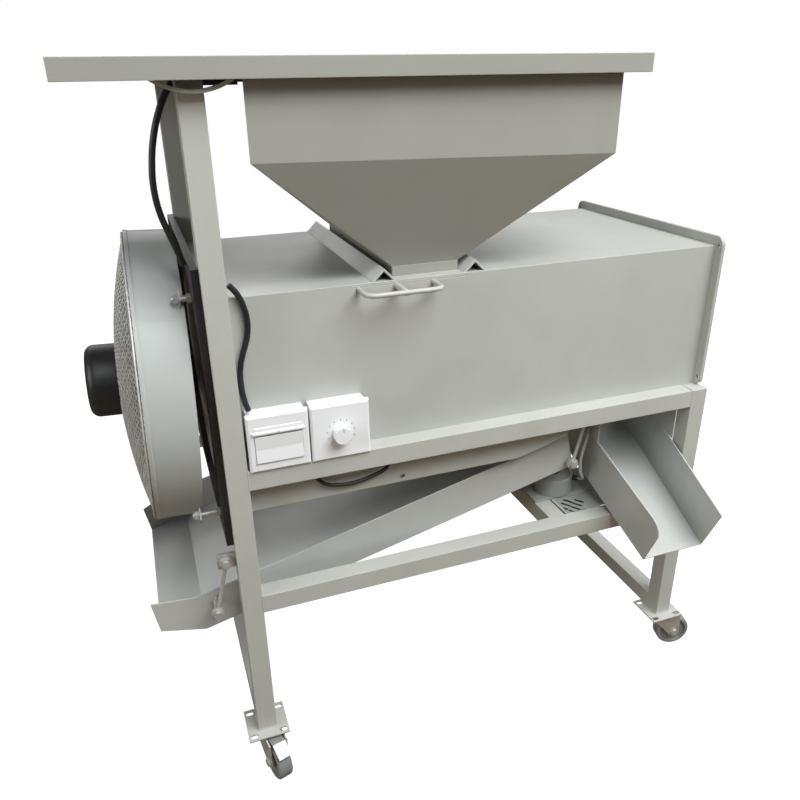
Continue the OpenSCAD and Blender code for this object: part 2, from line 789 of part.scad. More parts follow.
module switch_plate() {
    lamp_z = rocker_z + rocker_h/2 + 8;
    color("white") place() {
        difference() {
            face_plate(switch_x);
            translate([rocker_x - slide_gap, switch_y - eps, rocker_z - rocker_h/2 - rocker_play])
                cube([rocker_w + 2*slide_gap, switch_t + 2*eps, rocker_h + 2*rocker_play]);
            rod_x(rocker_x - trunnion_l, rocker_x + rocker_w + trunnion_l, rocker_y, rocker_z, trunnion_r + running_gap);
        }
        translate([rocker_x, switch_y - 1, lamp_z]) cube([rocker_w, 1 + eps, 5]);
    }
}

// Rocker with a shallow hollow in its face, on two short trunnions
module rocker() {
    half = rocker_h/2;
    color("white") place() translate([rocker_x, rocker_y, rocker_z]) {
        rotate([90, 0, 90]) linear_extrude(rocker_w)
            polygon([[-7, -half], [-5.5, 0], [-7, half], [2, half - 1], [2, 1 - half]]);
        rod_x(0.5 - trunnion_l, rocker_w + trunnion_l - 0.5, 0, 0, trunnion_r);
    }
}

module dial_plate() {
    color("white") place() difference() {
        face_plate(dial_x);
        rod_y(dial_x + switch_w/2, switch_y - eps, switch_y + switch_t + eps, dial_z, spindle_r + running_gap);
    }
}

module speed_knob() {
    color("white") place() translate([dial_x + switch_w/2, switch_y - slide_gap, dial_z])
        rotate([90, 0, 0]) {
            difference() {
                cylinder(r = knob_r, h = 14);
                for (k = [0:17]) rotate(20*k) translate([knob_r, 0, 3]) cylinder(r = 1, h = 14, $fn = 16);
                translate([-1, 4, 13]) cube([2, knob_r, 3]);
            }
            translate([0, 0, -switch_t - slide_gap]) cylinder(r = spindle_r, h = switch_t + slide_gap + eps);
        }
}

module gate_guides() {
    rail_w = 14;
    lead = 14;
    color("silver") place() for (x = [gate_x - 2 - slide_gap, gate_x + gate_w + slide_gap])
        difference() {
            translate([x - rail_w/2 + 1, tube + sheet + lead, gate_z - sheet - slide_gap])
                cube([rail_w, gate_d + 10 - lead, box_top - gate_z + slide_gap]);
            translate([gate_x - slide_gap, tube, gate_z - slide_gap])
                cube([gate_w + 2*slide_gap, gate_d + 40, gate_t + 2*slide_gap]);
            translate([gate_x + rail_w/2, tube, gate_z - 10]) cube([gate_w - rail_w, gate_d + 40, 30]);
        }
}

module feed_gate() {
    back = tube + sheet + 4;
    y = -handle_reach + tube;
    z = handle_z;
    x0 = handle_x + handle_r;
    x1 = handle_x + handle_l - handle_r;
    color("gainsboro") place() {
        translate([gate_x, back, gate_z]) cube([gate_w, gate_d, gate_t]);
        for (x = [x0, x1]) rod_y(x, y + handle_bend, back + 8, z, handle_r);
        rod_x(x0 + handle_bend, x1 - handle_bend, y, z, handle_r);
        for (s = [0, 1]) translate([s == 0 ? x0 + handle_bend : x1 - handle_bend, y + handle_bend, z])
            rotate([0, 0, s == 0 ? 180 : 270]) rotate_extrude(angle = 90)
                translate([handle_bend, 0]) circle(r = handle_r);
        rod_y(handle_x + handle_l/2, y, back + 8, z, stem_r);
    }
}

// Outline of a trough wall seen from the front: the level spout and the sloping floor
function trough_side(h) =
    let (dx = trough_l*cos(trough_angle), dz = trough_l*sin(trough_angle), s = sin(trough_angle), c = cos(trough_angle))
    [[trough_x, trough_z], [trough_x + dx, trough_z + dz], [trough_x + dx - h*s, trough_z + dz + h*c],
        [trough_x - h*tan(trough_angle/2), trough_z + h], [spout_x - 8, trough_z + h + 5], [spout_x, spout_z]];

// Plan of the trough, whose spout narrows at its rear wall
module trough_plan(inset, over) {
    y0 = trough_y + inset;
    y1 = trough_y + trough_d - inset;
    polygon([[spout_x - 10 - over, y0], [trough_end - inset, y0], [trough_end - inset, y1], [trough_x - 20, y1],
        [spout_x - 10 - over, y1 - spout_taper*(1 + over/(spout_l - 10))]]);
}

module trough() {
    floor_t = sheet/cos(trough_angle);
    color("silver") place() difference() {
        intersection() {
            translate([0, frame_d, 0]) rotate([90, 0, 0]) linear_extrude(frame_d) polygon(trough_side(trough_h));
            linear_extrude(deck_z) trough_plan(0, 0);
        }
        intersection() {
            translate([0, frame_d, floor_t]) rotate([90, 0, 0]) linear_extrude(frame_d) polygon(concat(
                [[spout_x - spout_l, spout_z + 6], [spout_x, spout_z]],
                [for (p = trough_side(3*trough_h)) if (p[0] > spout_x) p], [[spout_x - spout_l, trough_z + 3*trough_h]]));
            linear_extrude(deck_z) trough_plan(sheet, 40);
        }
        for (p = trough_pivots) rod_y(p[0], 0, frame_d, p[1], link_bolt_r);
    }
}

// Bolts through the trough's walls, which carry the lower eyes of the swing links
module trough_bolts() {
    color("gainsboro") place() for (i = [0, 1]) for (rear = [0, 1]) {
        x = trough_pivots[i][0];
        z = trough_pivots[i][1];
        out = (i == 0 ? left_link_inset : link_y) - link_t/2 - slide_gap;
        translate([0, rear*frame_d, 0]) mirror([0, rear, 0]) {
            rod_y(x, out - 4, trough_y + sheet + 6, z, link_bolt_r);
            hex_y(x, out - 5, out, z, 7);
            hex_y(x, trough_y + sheet, trough_y + sheet + 5, z, 7);
            hex_y(x, trough_y - 5, trough_y, z, 7);
        }
    }
}

// Lugs on the posts and studs on the box, which carry the upper eyes
module link_brackets() {
    color("gainsboro") place() for (rear = [0, 1]) translate([0, rear*frame_d, 0]) mirror([0, rear, 0]) {
        translate([link_x - 12, lug_y, link_z - 12]) cube([12 - link_x, lug_t, 24]);
        out = left_link_inset - link_t/2 - slide_gap;
        rod_y(link_x, out - 4, lug_y + eps, link_z, link_bolt_r);
        hex_y(link_x, out - 5, out, link_z, 7);
        rod_y(right_link_x, tube + sheet - eps, link_y + link_t/2 + slide_gap + 3, right_link_z, link_bolt_r);
        hex_y(right_link_x, link_y + link_t/2 + slide_gap, link_y + link_t/2 + slide_gap + 4, right_link_z, 7);
    }
}

// Swing link: two eyes joined by a rod
module swing_link(x, y, z) {
    color("gainsboro") place() translate([x, y, z]) rotate([0, link_lean, 0]) difference() {
        union() {
            for (h = [0, -link_l]) rod_y(0, -link_t/2, link_t/2, h, link_eye_r);
            translate([0, 0, -link_l + link_eye_r - 2]) cylinder(r = link_t/2, h = link_l - 2*link_eye_r + 4);
        }
        for (h = [0, -link_l]) rod_y(0, -link_t, link_t, h, link_bolt_r + bolt_gap);
    }
}

module link_front_left() {
    swing_link(link_x, left_link_inset, link_z);
}

module link_rear_left() {
    swing_link(link_x, frame_d - left_link_inset, link_z);
}

module link_front_right() {
    swing_link(right_link_x, link_y, right_link_z);
}

module link_rear_right() {
    swing_link(right_link_x, frame_d - link_y, right_link_z);
}

// Plan of the chute in its own slope: narrow at the lip, full width from the frame on
module chute_plan(inset, over) {
    flare = (lip_reach + flare_run)/cos(chute_angle);
    slant = (chute_w - lip_w - lip_shift)/flare;
    x0 = chute_x + lip_shift;
    polygon([[x0 + inset + lip_shift*over/flare, -over], [x0 + lip_w - inset - slant*over, -over],
        [chute_x + chute_w - inset, flare], [chute_x + chute_w - inset, chute_l], [chute_x + inset, chute_l],
        [chute_x + inset, flare]]);
}

module outlet_chute() {
    trim = 5;
    color("silver") place() difference() {
        translate([0, -lip_reach, lip_z]) rotate([chute_angle, 0, 0]) difference() {
            linear_extrude(chute_h) chute_plan(0, 0);
            translate([0, 0, sheet]) linear_extrude(chute_h) chute_plan(sheet, 20);
            translate([chute_x, 0, chute_h - chute_r]) rotate([90, 0, 90]) linear_extrude(lip_w/2)
                polygon(concat([[-20, chute_r + 20], [-20, 0]],
                    [for (a = [0:10:90]) chute_r*[1 - cos(a), sin(a)]], [[chute_r, chute_r + 20]]));
        }
        translate([chute_x - tube, tube, deck_z - trim]) cube([2*chute_w, frame_d, box_h]);
    }
}

module drive_base() {
    slot_l = 26;
    color("darkkhaki") place() translate([motor_rail_x, tube, lower_rail_z]) difference() {
        cube([2*tube + motor_rail_gap, drive_y + drive_r + 10 - tube, base_t]);
        for (side = [-1, 1]) for (k = [0:3])
            translate([tube + motor_rail_gap/2 + side*17, 10 + 8*k, 0]) rotate(side*20)
                translate([-slot_l/2, -1.5, -eps]) cube([slot_l, 3, base_t + 2*eps]);
    }
}

module drive_motor() {
    color("slategray") place() translate([drive_x, drive_y, lower_rail_z + base_t]) difference() {
        cylinder(r = drive_r, h = drive_h);
        translate([0, 0, drive_h - 20]) cylinder(r = shaft_r + running_gap, h = 20 + eps);
        difference() {
            translate([0, 0, drive_h - 3]) cylinder(r = drive_r - 4, h = 3 + eps);
            cylinder(r = shaft_r + 8, h = drive_h);
        }
    }
}

module drive_crank() {
    color("dimgray") place() translate([drive_x, drive_y, crank_z]) {
        translate([0, 0, -20]) cylinder(r = shaft_r, h = 20 + eps);
        cylinder(r = shaft_r + crank_throw + 4, h = crank_t);
        translate([0, crank_throw, 0]) cylinder(r = crank_pin_r, h = push_z - crank_z + push_t + 3);
    }
}

// Push rod: a small eye on the trough's bracket and a wide ring round the crank pin
module push_rod() {
    eye_r = 9;
    color("dimgray") place() translate([push_x, drive_y, push_z]) difference() {
        union() {
            cylinder(r = eye_r, h = push_t);
            translate([0, -4.5, 0]) cube([push_l - ring_r - 1, 9, push_t]);
            translate([push_l, 0, 0]) cylinder(r = ring_r + 5, h = push_t);
        }
        translate([0, 0, -eps]) cylinder(r = link_bolt_r + bolt_gap, h = push_t + 2*eps);
        translate([push_l, 0, -eps]) cylinder(r = ring_r, h = push_t + 2*eps);
    }
}

// Bracket under the trough, with the pin for the push rod
module push_bracket() {
    half_w = 14;
    foot_z = push_z + push_t + slide_gap;
    function floor_z(x) = trough_z + (x - trough_x)*tan(trough_angle);
    color("dimgray") place() {
        translate([0, drive_y + half_w, 0]) rotate([90, 0, 0]) linear_extrude(2*half_w)
            polygon([[push_x - 16, floor_z(push_x - 16)], [push_x - 10, foot_z], [push_x + 16, foot_z],
                [push_x + 16, floor_z(push_x + 16)]]);
        translate([push_x, drive_y, push_z - 5]) cylinder(r = link_bolt_r, h = push_t + 5 + slide_gap + eps);
        translate([push_x, drive_y, push_z - 5 - slide_gap]) cylinder(r = 7, h = 5, $fn = 6);
    }
}

// Places children at a corner's swivel, with X along the caster's trail
module at_corner(i) {
    translate([corners[i][0], corners[i][1], 0]) rotate(turns[i]) children();
}

module caster_plates() {
    slot_d = 8.5;
    slot_l = 13;
    color("gainsboro") place() for (i = [0:3]) {
        translate([corners[i][0], corners[i][1], 0]) difference() {
            translate([-pad_w/2, -pad_w/2, caster_h - pad_t]) cube([pad_w, pad_w, pad_t]);
            for (x = [-slot_x/2, slot_x/2]) for (y = [-slot_y/2, slot_y/2]) translate([x, y, caster_h - 2*pad_t]) {
                translate([-(slot_l - slot_d)/2, -slot_d/2, 0]) cube([slot_l - slot_d, slot_d, 3*pad_t]);
                for (e = [-1, 1]) translate([e*(slot_l - slot_d)/2, 0, 0]) cylinder(d = slot_d, h = 3*pad_t);
            }
        }
        at_corner(i) {
            translate([0, 0, fork_top + slide_gap]) cylinder(r1 = 18, r2 = 23, h = caster_h - pad_t - fork_top - slide_gap + eps);
            translate([0, 0, fork_top - 10]) cylinder(r = king_r, h = 12);
            translate([0, 0, fork_top - 10]) cylinder(r = 8, h = 10 - crown_t - slide_gap, $fn = 6);
        }
    }
}

// Side cheek of a fork, from the crown down to the axle
module fork_cheek(y) {
    translate([0, y + fork_t, 0]) rotate([90, 0, 0]) linear_extrude(fork_t) {
        polygon([[-16, fork_top], [-16, fork_top - 8], [trail - 11, wheel_r - 3], [trail + 11, wheel_r - 3],
            [trail + 8, fork_top - 4], [trail - 4, fork_top]]);
        translate([trail, wheel_r]) circle(r = 11);
    }
}

module fork(i) {
    inner = wheel_w/2 + fork_gap;
    braked = i < 2;
    color("gainsboro") place() at_corner(i) {
        difference() {
            union() {
                translate([-16, -inner - fork_t, fork_top - crown_t]) cube([34, 2*(inner + fork_t), crown_t]);
                translate([0, 0, fork_top - crown_t]) cylinder(r = 21, h = crown_t);
            }
            translate([0, 0, fork_top - 2*crown_t]) cylinder(r = king_r + running_gap, h = 3*crown_t);
        }
        for (y = [-inner - fork_t, inner]) fork_cheek(y);
        rod_y(trail, -inner - fork_t - 3, inner + fork_t + 3, wheel_r, axle_r);
        for (y = [-inner - fork_t - 4, inner + fork_t]) hex_y(trail, y, y + 4, wheel_r, 7);
        if (braked) rod_y(pedal_x, -inner - eps, inner + eps, pedal_z, pedal_pin_r);
    }
}

module fork_front_left() {
    fork(0);
}

module fork_rear_left() {
    fork(1);
}

module fork_front_right() {
    fork(2);
}

module fork_rear_right() {
    fork(3);
}

// Wheel with a rounded tread and a dished web
module wheel(i) {
    tread_r = 4;
    rim_r = wheel_r - 7;
    hub = 9;
    color("dimgray") place() at_corner(i) translate([trail, 0, wheel_r]) rotate([90, 0, 0]) rotate_extrude($fn = 72)
        difference() {
            union() {
                translate([axle_r + running_gap, -wheel_w/2]) square([wheel_r - tread_r - axle_r - running_gap, wheel_w]);
                translate([wheel_r - tread_r, tread_r - wheel_w/2]) square([tread_r, wheel_w - 2*tread_r]);
                for (s = [-1, 1]) translate([wheel_r - tread_r, s*(wheel_w/2 - tread_r)]) circle(r = tread_r, $fn = 32);
            }
            for (s = [-1, 1]) translate([hub, s*wheel_w/2 - 4]) square([rim_r - hub, 8]);
        }
}

module wheel_front_left() {
    wheel(0);
}

module wheel_rear_left() {
    wheel(1);
}

module wheel_front_right() {
    wheel(2);
}

module wheel_rear_right() {
    wheel(3);
}

// Brake pedal: a barrel on its pin and a bent tread plate over the wheel
module brake(i) {
    w = wheel_w - 2;
    color("gainsboro") place() at_corner(i) translate([pedal_x, w/2, pedal_z]) rotate([90, 0, 0])
        linear_extrude(w) difference() {
            union() {
                circle(r = pedal_pin_r + 1.8);
                polygon([[0, 1.5], [22, 4.5], [44, -6], [46, -3], [23, 8], [-1, 4.4]]);
            }
            circle(r = pedal_pin_r + running_gap);
        }
}

module brake_front_left() {
    brake(0);
}

module brake_rear_left() {
    brake(1);
}

module fan_cable() {
    color("black") place() cord(fan_cable_route, fan_cable_r);
}

module switch_cable() {
    color("black") place() cord(switch_cable_route, fan_cable_r);
}

module loop_cable() {
    color("black") place() cord(loop_cable_route, cable_r);
}

module motor_cable() {
    color("lightgray") place() cord(motor_cable_route, cable_r);
}

left_posts();
right_legs();
mid_rails();
cross_rails();
lower_rails();
side_rails();
motor_rails();
wind_box();
outlet_flange();
grain_divider();
hopper_irons();
neck_collar();
hopper();
feed_tray();
tray_bearers();
tray_strap();
fan_plate();
fan_drum();
fan_guard();
fan_spider();
fan_motor();
fan_bolts();
fan_rotor();
switch_box();
dial_box();
switch_plate();
dial_plate();
rocker();
speed_knob();
gate_guides();
feed_gate();
trough();
trough_bolts();
link_brackets();
link_front_left();
link_rear_left();
link_front_right();
link_rear_right();
outlet_chute();
drive_base();
drive_motor();
drive_crank();
push_rod();
push_bracket();
caster_plates();
fork_front_left();
fork_rear_left();
fork_front_right();
fork_rear_right();
wheel_front_left();
wheel_rear_left();
wheel_front_right();
wheel_rear_right();
brake_front_left();
brake_rear_left();
fan_cable();
switch_cable();
loop_cable();
motor_cable();
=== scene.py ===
import json
import math
import bmesh
import bpy
from mathutils import Matrix, Vector


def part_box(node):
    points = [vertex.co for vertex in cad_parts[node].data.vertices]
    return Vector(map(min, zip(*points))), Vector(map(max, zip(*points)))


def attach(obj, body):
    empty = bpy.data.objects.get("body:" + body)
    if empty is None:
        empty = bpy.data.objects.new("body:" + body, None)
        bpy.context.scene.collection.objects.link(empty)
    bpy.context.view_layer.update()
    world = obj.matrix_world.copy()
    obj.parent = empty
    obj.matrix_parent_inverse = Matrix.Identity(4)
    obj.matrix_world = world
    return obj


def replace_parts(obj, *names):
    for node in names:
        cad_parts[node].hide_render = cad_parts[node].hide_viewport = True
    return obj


# Electric winnowing machine: finishes, cables, woven guard, cut sheet pieces, gland, welds and switch trim
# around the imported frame

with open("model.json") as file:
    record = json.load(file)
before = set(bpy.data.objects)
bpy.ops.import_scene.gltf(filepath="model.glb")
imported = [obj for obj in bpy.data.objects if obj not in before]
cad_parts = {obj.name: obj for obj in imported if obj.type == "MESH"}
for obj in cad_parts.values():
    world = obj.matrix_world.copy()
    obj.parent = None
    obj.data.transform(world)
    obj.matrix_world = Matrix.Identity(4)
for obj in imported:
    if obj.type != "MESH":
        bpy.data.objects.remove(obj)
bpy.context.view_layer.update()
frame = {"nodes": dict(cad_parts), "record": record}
nodes = frame["nodes"]
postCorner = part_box("left_posts")[0]  # outer front corner of the left post, on its caster plate


def fromPost(x, y, z):
    # Place measured in metres from the post's outer corner, and from the floor
    return Vector((postCorner.x + x, postCorner.y + y, z))


def linkObject(name, data):
    obj = bpy.data.objects.new(name, data)
    bpy.context.scene.collection.objects.link(obj)
    return obj


def meshFrom(name, bm):
    mesh = bpy.data.meshes.new(name)
    bm.to_mesh(mesh)
    bm.free()
    return mesh


def workedOutMesh(name, obj):
    # Mesh of an object with its modifiers or its curve worked out
    bpy.context.view_layer.update()
    mesh = bpy.data.meshes.new_from_object(obj.evaluated_get(bpy.context.evaluated_depsgraph_get()))
    mesh.name = name
    return mesh


print("frame loaded,", len(nodes), "nodes")

# Camera at the photograph's viewpoint
view = dict(place=(-0.0638, -0.8923, 1.0653), yaw=19.66, pitch=-24.31, roll=-0.9, focal=32.56, sensor=36.0)


def addCamera(v):
    yaw, pitch, roll = (math.radians(v[k]) for k in ("yaw", "pitch", "roll"))
    data = bpy.data.cameras.new("camera")
    data.lens = v["focal"]
    data.sensor_width = v["sensor"]
    cam = linkObject("camera", data)
    turn = (Matrix.Rotation(-yaw, 4, "Z") @ Matrix.Rotation(math.pi / 2 + pitch, 4, "X")
            @ Matrix.Rotation(roll, 4, "Z"))
    cam.matrix_world = Matrix.Translation(fromPost(*v["place"])) @ turn
    bpy.context.scene.camera = cam


addCamera(view)
print("camera set")

# Shader node groups, each with a colour, a roughness, a height and a normal that rounds the edges off
surfaceOutputs = [("Color", "NodeSocketColor"), ("Roughness", "NodeSocketFloat"),
                  ("Height", "NodeSocketFloat"), ("Normal", "NodeSocketVector")]


def newGroup(name, inputs):
    group = bpy.data.node_groups.new(name, "ShaderNodeTree")
    for sockets, direction in ((inputs, "INPUT"), (surfaceOutputs, "OUTPUT")):
        for label, kind in sockets:
            group.interface.new_socket(label, in_out=direction, socket_type=kind)
    return group, group.nodes.new("NodeGroupInput"), group.nodes.new("NodeGroupOutput")


def addNode(tree, kind, **values):
    # Values named in_... go to the input of that name, all others to the node itself
    node = tree.nodes.new(kind)
    for key, value in values.items():
        if key.startswith("in_"):
            node.inputs[key[3:].replace("_", " ")].default_value = value
        else:
            setattr(node, key, value)
    return node


def addMath(tree, operation, *terms):
    # Each term is a number or a socket
    node = addNode(tree, "ShaderNodeMath", operation=operation)
    for socket, term in zip(node.inputs, terms):
        if isinstance(term, float):
            socket.default_value = term
        else:
            tree.links.new(term, socket)
    return node.outputs[0]


def addNoise(tree, place, look):
    # look holds the scale, the detail and, where it isn't the usual one, the roughness
    noise = addNode(tree, "ShaderNodeTexNoise")
    for label, value in zip(("Scale", "Detail", "Roughness"), look):
        noise.inputs[label].default_value = value
    tree.links.new(place, noise.inputs["Vector"])
    return noise.outputs["Fac"]


def addStretch(tree, place, scale):
    stretch = addNode(tree, "ShaderNodeMapping", in_Scale=scale)
    tree.links.new(place, stretch.inputs["Vector"])
    return stretch.outputs["Vector"]


def addRange(tree, source, span, onto):
    # Maps a value from one span onto another
    mapped = addNode(tree, "ShaderNodeMapRange", in_From_Min=span[0], in_From_Max=span[1],
                     in_To_Min=onto[0], in_To_Max=onto[1])
    tree.links.new(source, mapped.inputs["Value"])
    return mapped.outputs["Result"]


def addTone(tree, color, value):
    # A colour made lighter or darker
    tone = addNode(tree, "ShaderNodeHueSaturation")
    tree.links.new(color, tone.inputs["Color"])
    tree.links.new(value, tone.inputs["Value"])
    return tone.outputs["Color"]


def addRoundedNormal(tree, radius):
    return addNode(tree, "ShaderNodeBevel", samples=4, in_Radius=radius).outputs["Normal"]


def addEdgeMask(tree, rounded, sharp):
    # 1 along sharp edges, 0 where the rounded normal is the true one
    flat = addNode(tree, "ShaderNodeNewGeometry")
    likeness = addNode(tree, "ShaderNodeVectorMath", operation="DOT_PRODUCT")
    tree.links.new(rounded, likeness.inputs[0])
    tree.links.new(flat.outputs["Normal"], likeness.inputs[1])
    return addRange(tree, likeness.outputs["Value"], (1.0, sharp), (0.0, 1.0))


paintLook = dict(drift=(4.0, 4.0, 0.55), smear=(22.0, 6.0, 0.62), peel=(420.0, 2.0), dent=(7.0, 1.0),
                 stretch=(1.0, 1.0, 0.7), driftSpan=(0.3, 0.7), smearSpan=(0.52, 0.72), dentHeight=14.0,
                 dustRoughness=0.5, driftRoughness=0.05, rounding=0.0014, sharp=0.9, bumpDistance=0.0002)


def buildPaintGroup(p):
    # Sprayed enamel: tone drift, dust, fine orange peel, and edges painted lighter, partly as rubbed wear and
    # partly as a painted highlight
    group, given, result = newGroup(
        "sprayedPaint",
        [("Color", "NodeSocketColor"), ("Dust Color", "NodeSocketColor"), ("Roughness", "NodeSocketFloat"),
         ("Drift", "NodeSocketFloat"), ("Dust", "NodeSocketFloat"), ("RubAndHighlight", "NodeSocketFloat")])
    link = group.links.new
    place = addNode(group, "ShaderNodeTexCoord").outputs["Object"]
    drift = addRange(group, addNoise(group, place, p["drift"]), p["driftSpan"], (-1.0, 1.0))
    tone = addTone(group, given.outputs["Color"],
                   addMath(group, "MULTIPLY_ADD", drift, given.outputs["Drift"], 1.0))
    smear = addNoise(group, addStretch(group, place, p["stretch"]), p["smear"])
    dust = addMath(group, "MULTIPLY", addRange(group, smear, p["smearSpan"], (0.0, 1.0)),
                   given.outputs["Dust"])
    dusty = addNode(group, "ShaderNodeMix", data_type="RGBA")  # its colours are inputs 6 and 7, output 2
    link(dust, dusty.inputs[0])
    link(tone, dusty.inputs[6])
    link(given.outputs["Dust Color"], dusty.inputs[7])
    rounded = addRoundedNormal(group, p["rounding"])
    # Edges painted lighter along the edge mask: partly rubbed paint, partly a painted highlight
    rubAndHighlight = addMath(group, "MULTIPLY", addEdgeMask(group, rounded, p["sharp"]), given.outputs["RubAndHighlight"])
    link(addTone(group, dusty.outputs[2], addMath(group, "ADD", rubAndHighlight, 1.0)), result.inputs["Color"])
    rough = addMath(group, "MULTIPLY_ADD", dust, p["dustRoughness"], given.outputs["Roughness"])
    link(addMath(group, "MULTIPLY_ADD", drift, p["driftRoughness"], rough), result.inputs["Roughness"])
    peel = addNoise(group, place, p["peel"])
    dent = addNoise(group, place, p["dent"])
    link(addMath(group, "MULTIPLY_ADD", dent, p["dentHeight"], peel), result.inputs["Height"])
    link(rounded, result.inputs["Normal"])
    return group


zincLook = dict(cloud=(60.0, 5.0), lines=(900.0, 2.0), stretch=(0.08, 1.0, 1.0), cloudSpan=(0.3, 0.7),
                tone=(0.8, 1.1), cloudRoughness=0.2, rounding=0.0006, bumpDistance=0.0001, bump=0.25)


def buildZincGroup(z):
    # Bright zinc: cloudy tone and fine drawing lines
    group, given, result = newGroup(
        "brightZinc", [("Color", "NodeSocketColor"), ("Roughness", "NodeSocketFloat")])
    link = group.links.new
    place = addNode(group, "ShaderNodeTexCoord").outputs["Object"]
    cloud = addNoise(group, place, z["cloud"])
    lines = addNoise(group, addStretch(group, place, z["stretch"]), z["lines"])
    value = addRange(group, cloud, z["cloudSpan"], z["tone"])
    rough = addMath(group, "MULTIPLY_ADD", cloud, z["cloudRoughness"], given.outputs["Roughness"])
    link(addTone(group, given.outputs["Color"], value), result.inputs["Color"])
    link(rough, result.inputs["Roughness"])
    link(lines, result.inputs["Height"])
    link(addRoundedNormal(group, z["rounding"]), result.inputs["Normal"])
    return group


paintGroup = buildPaintGroup(paintLook)
zincGroup = buildZincGroup(zincLook)


def startMaterial(name):
    mat = bpy.data.materials.new(name)
    mat.use_nodes = True
    return mat, mat.node_tree, mat.node_tree.nodes["Principled BSDF"]


def joinSurface(tree, source, shader, bumpDistance, bumpStrength):
    bump = addNode(tree, "ShaderNodeBump", in_Distance=bumpDistance, in_Strength=bumpStrength)
    tree.links.new(source.outputs["Color"], shader.inputs["Base Color"])
    tree.links.new(source.outputs["Roughness"], shader.inputs["Roughness"])
    tree.links.new(source.outputs["Height"], bump.inputs["Height"])
    tree.links.new(source.outputs["Normal"], bump.inputs["Normal"])
    tree.links.new(bump.outputs["Normal"], shader.inputs["Normal"])


# The edge lightening is partly rubbed wear and partly a painted highlight along the edges
def paintMaterial(name, color, roughness, dustColor=(0.30, 0.26, 0.19), drift=0.05, dust=0.1, rubAndHighlight=0.2,
                  coat=0.0, coatRoughness=0.12, bump=0.35, specular=0.5):
    mat, tree, shader = startMaterial(name)
    paint = addNode(tree, "ShaderNodeGroup", node_tree=paintGroup)
    paint.inputs["Color"].default_value = (*color, 1)
    paint.inputs["Dust Color"].default_value = (*dustColor, 1)
    paint.inputs["Roughness"].default_value = roughness
    paint.inputs["Drift"].default_value = drift
    paint.inputs["Dust"].default_value = dust
    paint.inputs["RubAndHighlight"].default_value = rubAndHighlight
    joinSurface(tree, paint, shader, paintLook["bumpDistance"], bump)
    shader.inputs["Coat Weight"].default_value = coat
    shader.inputs["Coat Roughness"].default_value = coatRoughness
    shader.inputs["Specular IOR Level"].default_value = specular
    return mat


def zincMaterial(name, color, roughness, metallic):
    mat, tree, shader = startMaterial(name)
    zinc = addNode(tree, "ShaderNodeGroup", node_tree=zincGroup)
    zinc.inputs["Color"].default_value = (*color, 1)
    zinc.inputs["Roughness"].default_value = roughness
    joinSurface(tree, zinc, shader, zincLook["bumpDistance"], zincLook["bump"])
    shader.inputs["Metallic"].default_value = metallic
    return mat


materials = dict(
    frame_paint=paintMaterial("framePaint", (0.45, 0.457, 0.425), 0.42, rubAndHighlight=0.28),
    box_sheet=paintMaterial("boxSheet", (0.435, 0.442, 0.412), 0.38, rubAndHighlight=0.3),
    tray_sheet=paintMaterial("traySheet", (0.32, 0.32, 0.288), 0.42, rubAndHighlight=0.3),
    trough_sheet=paintMaterial("troughSheet", (0.44, 0.45, 0.43), 0.34, rubAndHighlight=0.4, coat=0.15),
    drum_enamel=paintMaterial("drumEnamel", (0.405, 0.425, 0.415), 0.42, drift=0.03, dust=0.04, coat=0.12,
                              coatRoughness=0.08, bump=0.08, specular=0.28),
    black_paint=paintMaterial("blackPaint", (0.011, 0.011, 0.012), 0.45, dustColor=(0.07, 0.065, 0.055),
                              dust=0.2, rubAndHighlight=0.8),
    rotor_red=paintMaterial("rotorRed", (0.42, 0.02, 0.03), 0.3, dust=0.1, coat=0.3),
    dark_steel=paintMaterial("darkSteel", (0.05, 0.048, 0.045), 0.5, dustColor=(0.2, 0.17, 0.13), dust=0.5,
                             rubAndHighlight=0.8),
    switch_white=paintMaterial("switchWhite", (0.80, 0.81, 0.83), 0.2, drift=0.005, dust=0.0, rubAndHighlight=0.05,
                               coat=0.4, coatRoughness=0.08, bump=0.03),
    motor_grey=paintMaterial("motorGrey", (0.30, 0.315, 0.30), 0.4, dust=0.3),
    wheel_grey=paintMaterial("wheelGrey", (0.22, 0.225, 0.22), 0.55, dustColor=(0.42, 0.40, 0.34),
                             dust=0.45),
    cable_black=paintMaterial("cableBlack", (0.012, 0.013, 0.015), 0.38, dustColor=(0.08, 0.08, 0.08),
                              dust=0.2, rubAndHighlight=0.0),
    cable_grey=paintMaterial("cableGrey", (0.42, 0.43, 0.41), 0.45, dust=0.3, rubAndHighlight=0.0),
    guard_wire=zincMaterial("guardWire", (0.64, 0.64, 0.61), 0.4, 0.35),
    zinc=zincMaterial("zinc", (0.55, 0.55, 0.53), 0.36, 0.6),
)

for row in frame["record"]["subparts"]:
    node = nodes[row["node"]]
    node.data.materials.clear()
    node.data.materials.append(materials[row["material_slot"]])

print("finishes made")

# Helpers for new pieces
routeSteps = 6  # parts between two points of a smooth route


def finishPiece(obj, slotName, body="frame"):
    obj.data.materials.clear()
    obj.data.materials.append(materials[slotName])
    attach(obj, body)
    return obj


def pieceFromBmesh(name, bm, slotName, body="frame", smooth=True):
    bmesh.ops.recalc_face_normals(bm, faces=bm.faces)
    mesh = meshFrom(name, bm)
    for face in mesh.polygons:
        face.use_smooth = smooth
    return finishPiece(linkObject(name, mesh), slotName, body)


